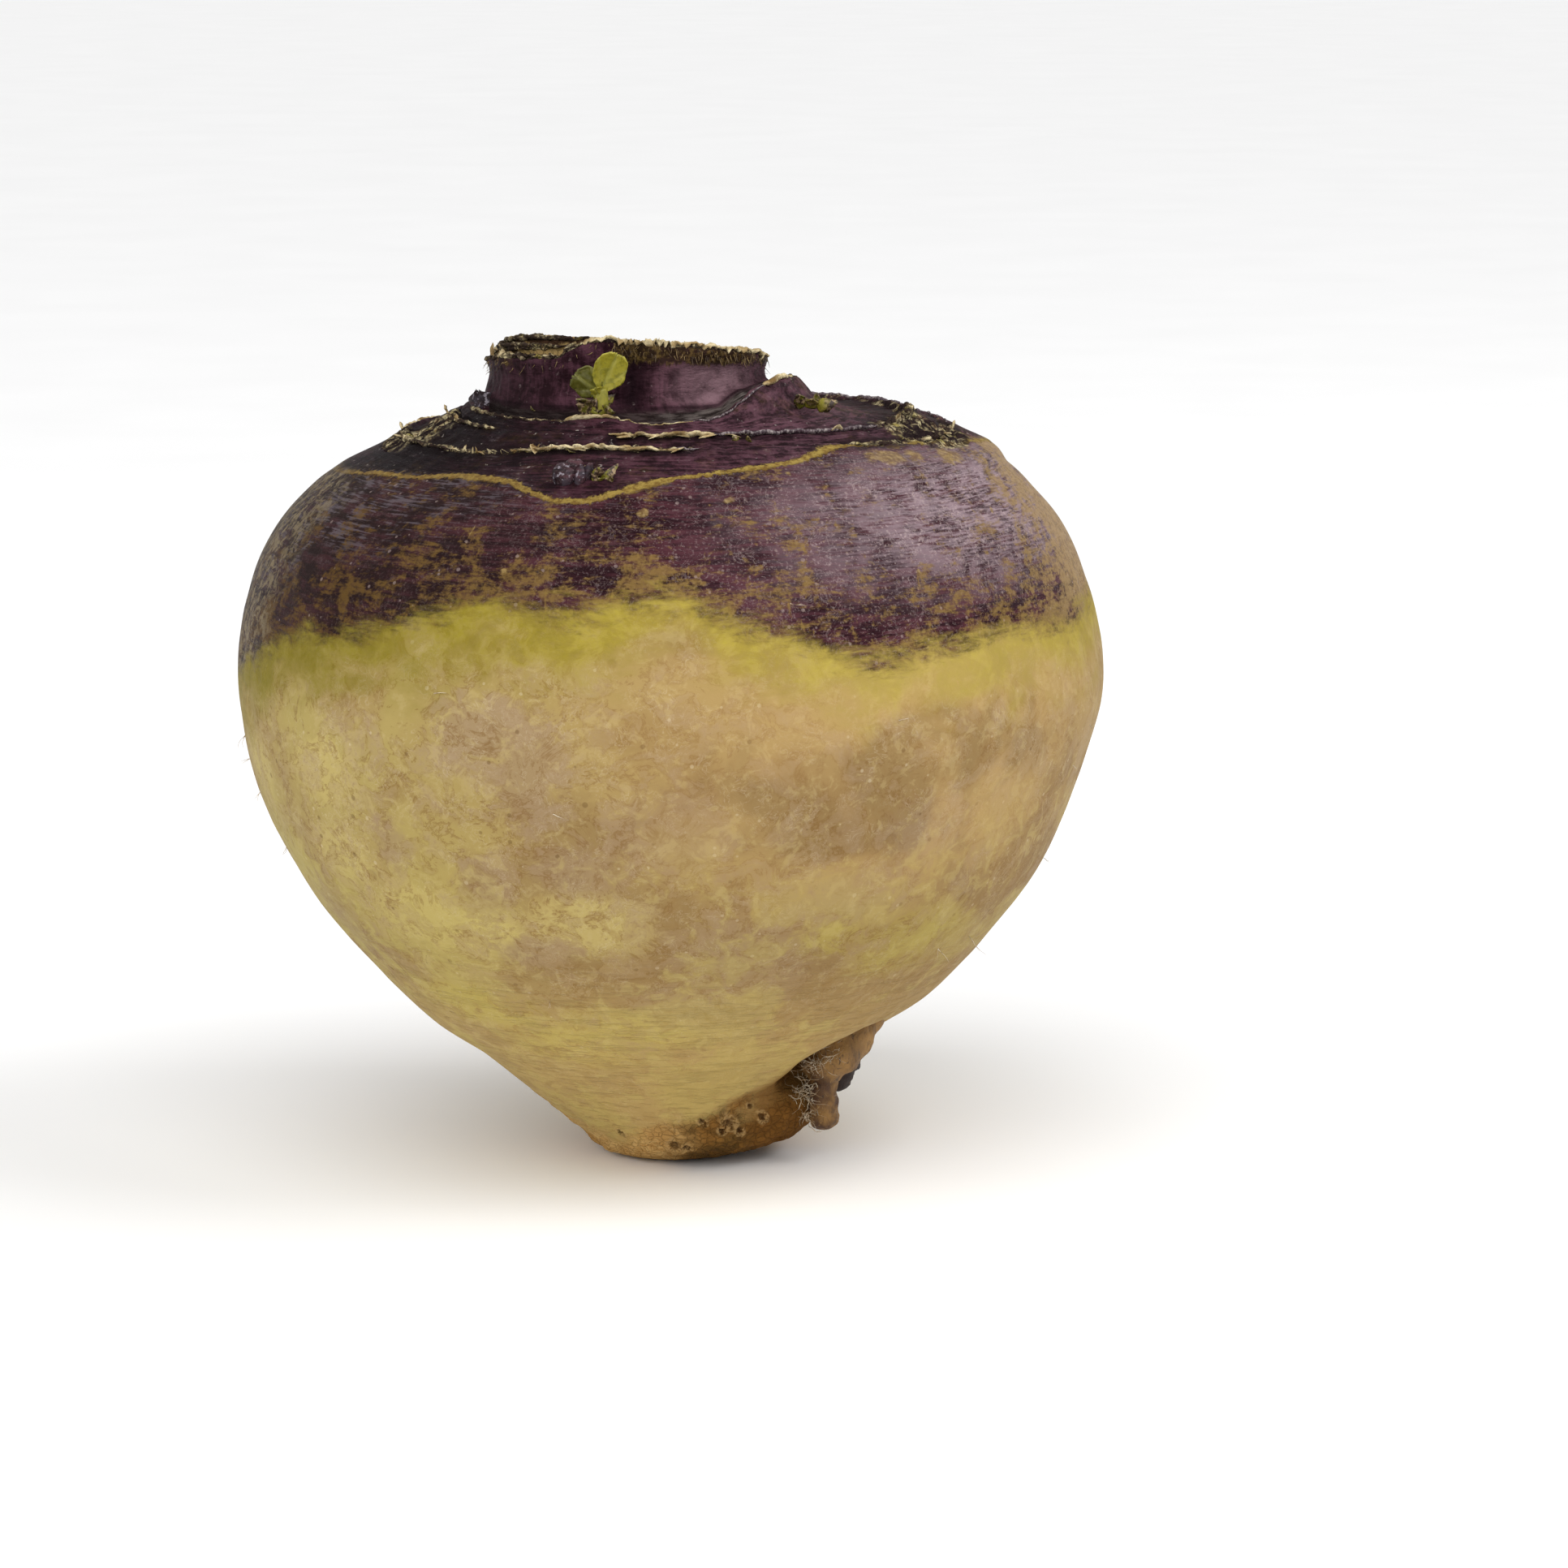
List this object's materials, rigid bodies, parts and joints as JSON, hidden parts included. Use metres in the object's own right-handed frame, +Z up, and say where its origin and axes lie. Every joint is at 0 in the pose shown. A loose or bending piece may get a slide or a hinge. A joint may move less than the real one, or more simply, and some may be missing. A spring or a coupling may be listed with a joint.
{
  "type": "rutabaga",
  "caption": "Whole top-shaped rutabaga that rests on its cut taproot, with a trimmed leafy neck, leaf-base ridges, side-root stubs and a young green sprout.",
  "frame": {"origin": "centre of the flat spot under the cut taproot, on which the root rests", "axes": "+Z up through the crown, -Y the front, where the sprout and the dormant bud are, +X the side with the side-root stubs"},
  "size_m": [0.1253, 0.1223, 0.1206],
  "materials": {
    "root_skin": "waxy root skin: dark purple shoulder, yellow-green band, buff lower half, brown cut taproot",
    "leaf_green": "young yellow-green leaf, softly shiny",
    "bud_green": "small olive bud scales with brown tips"
  },
  "bodies": {
    "root": {"root": "root_skin", "sprout": "leaf_green", "side_bud": "bud_green"}
  },
  "joints": []
}
